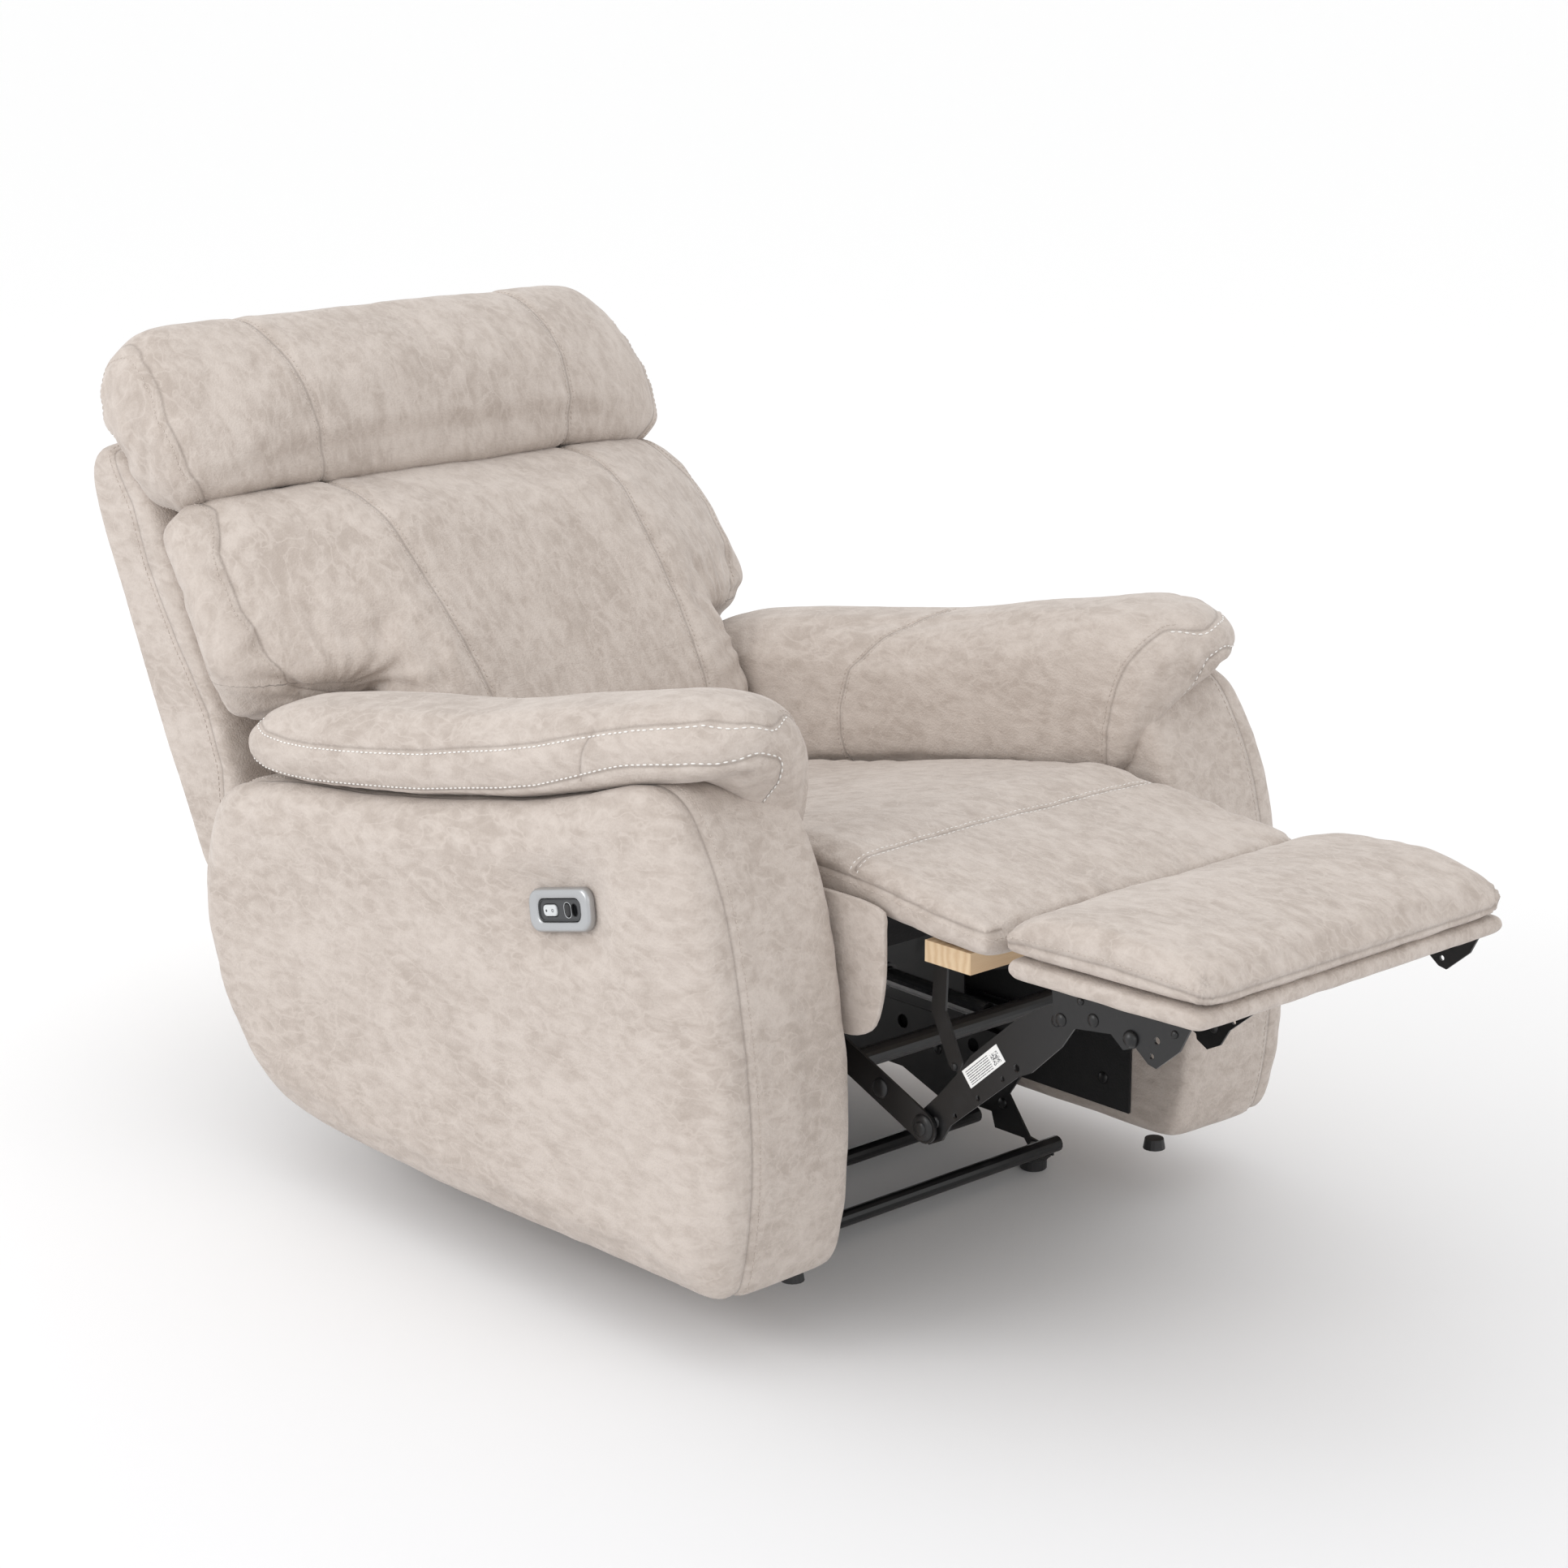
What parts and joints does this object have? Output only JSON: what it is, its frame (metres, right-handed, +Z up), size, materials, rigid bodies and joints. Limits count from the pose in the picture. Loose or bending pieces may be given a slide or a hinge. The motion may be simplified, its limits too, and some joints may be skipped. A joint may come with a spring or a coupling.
{
  "type": "recliner armchair",
  "caption": "Power recliner armchair upholstered in nubuck leather, with padded wave-shaped arms, a roll head cushion, a reclining back and a leg rest on a folding steel linkage.",
  "frame": {"origin": "middle of the footprint on the floor, with the back reclined and the leg rest up", "axes": "+Z up; -Y is the way the sitter faces, so the leg rest is at -Y and the back at +Y; +X is the sitter's left"},
  "size_m": [0.892, 1.7084, 0.9476],
  "materials": {
    "leather": "matte",
    "steel_black": "satin",
    "plastic_black": "matte",
    "lining_black": "matte",
    "pine": "matte",
    "silver": "satin",
    "grey_plastic": "satin",
    "paper": "matte"
  },
  "bodies": {
    "base": {"base_plate_right": "steel_black", "base_plate_left": "steel_black", "base_tube_front": "steel_black", "base_tube_rear": "steel_black", "foot_front_right": "plastic_black", "foot_front_left": "plastic_black", "foot_rear_right": "plastic_black", "foot_rear_left": "plastic_black", "guide_rail_right": "steel_black", "guide_rail_left": "steel_black", "arm_right": "leather", "arm_left": "leather", "arm_pad_right": "leather", "arm_pad_left": "leather", "arm_lining_right": "lining_black", "arm_lining_left": "lining_black", "arm_bracket_right": "steel_black", "arm_bracket_left": "steel_black", "arm_glide_right": "plastic_black", "arm_glide_left": "plastic_black", "control_bezel": "silver", "control_inset": "plastic_black"},
    "rocker": {"rocker_switch": "grey_plastic"},
    "button": {"memory_button": "plastic_black"},
    "seat": {"seat_cushion": "leather", "seat_side_panel_right": "leather", "seat_side_panel_left": "leather", "seat_plate_right": "steel_black", "seat_plate_left": "steel_black", "seat_front_rail": "pine", "seat_rear_rail": "pine", "seat_deck": "lining_black", "seat_cross_bar": "steel_black", "seat_glide_right": "plastic_black", "seat_glide_left": "plastic_black"},
    "drive": {"drive_arm_right": "steel_black", "drive_arm_left": "steel_black", "torque_tube": "steel_black"},
    "long_link_right": {"long_link_right": "steel_black", "link_label": "paper"},
    "long_link_left": {"long_link_left": "steel_black"},
    "bridge": {"bridge_pad": "leather", "bridge_board": "pine", "bridge_strap_right": "steel_black", "bridge_strap_left": "steel_black"},
    "leg_rest": {"leg_rest_pad": "leather", "leg_rest_board": "leather", "leg_rest_bracket_right": "steel_black", "leg_rest_bracket_left": "steel_black"},
    "actuator": {"actuator_sleeve": "steel_black", "actuator_motor": "plastic_black"},
    "rod": {"actuator_rod": "silver"},
    "back": {"back_shell": "leather", "back_cushion": "leather", "head_cushion": "leather", "back_bracket_right": "steel_black", "back_bracket_left": "steel_black"}
  },
  "joints": [
    {"name": "seat_slide", "type": "slide", "parent": "base", "child": "seat", "axis": [0, 1, 0], "range_m": [0, 0.095]},
    {"name": "bridge_fold", "type": "hinge", "parent": "seat", "child": "bridge", "pos_m": [0, -0.43821, 0.455], "axis": [1, 0, 0], "range_deg": [0, 90.2]},
    {"name": "leg_rest_tilt", "type": "hinge", "parent": "bridge", "child": "leg_rest", "pos_m": [0, -0.58521, 0.455], "axis": [1, 0, 0], "range_deg": [0, 6.1]},
    {"name": "drive_swing", "type": "hinge", "parent": "seat", "child": "drive", "pos_m": [0, -0.26821, 0.33], "axis": [1, 0, 0], "range_deg": [0, 97.8]},
    {"name": "long_link_right_fold", "type": "hinge", "parent": "drive", "child": "long_link_right", "pos_m": [0, -0.47621, 0.243], "axis": [1, 0, 0], "range_deg": [-80.6, 0]},
    {"name": "long_link_left_fold", "type": "hinge", "parent": "drive", "child": "long_link_left", "pos_m": [0, -0.47621, 0.243], "axis": [1, 0, 0], "range_deg": [-80.6, 0]},
    {"name": "actuator_swing", "type": "hinge", "parent": "seat", "child": "actuator", "pos_m": [0, 0.17179, 0.296], "axis": [1, 0, 0], "range_deg": [0, 6.8]},
    {"name": "rod_slide", "type": "slide", "parent": "actuator", "child": "rod", "axis": [0, 0.9997, 0.0243], "range_m": [0, 0.151]},
    {"name": "back_recline", "type": "hinge", "parent": "seat", "child": "back", "pos_m": [0, 0.33179, 0.322], "axis": [1, 0, 0], "range_deg": [-12, 16]},
    {"name": "rocker_tilt", "type": "hinge", "parent": "base", "child": "rocker", "pos_m": [-0.4412, -0.14959, 0.44563], "axis": [0, 0.225, 0.9744], "range_deg": [-4, 4], "stiffness_Nm_per_rad": 0.6},
    {"name": "memory_press", "type": "slide", "parent": "base", "child": "button", "axis": [1, 0, 0], "range_m": [0, 0.001], "stiffness_N_per_m": 900}
  ],
  "couplings": [
    {"joint": "bridge_fold", "follows": "seat_slide", "rad_per_m": 16.535},
    {"joint": "leg_rest_tilt", "follows": "seat_slide", "rad_per_m": 1.1023},
    {"joint": "drive_swing", "follows": "seat_slide", "rad_per_m": 17.936},
    {"joint": "long_link_right_fold", "follows": "seat_slide", "rad_per_m": -14.764},
    {"joint": "long_link_left_fold", "follows": "seat_slide", "rad_per_m": -14.764},
    {"joint": "actuator_swing", "follows": "seat_slide", "rad_per_m": 1.2254},
    {"joint": "rod_slide", "follows": "seat_slide", "ratio": 1.5842}
  ]
}
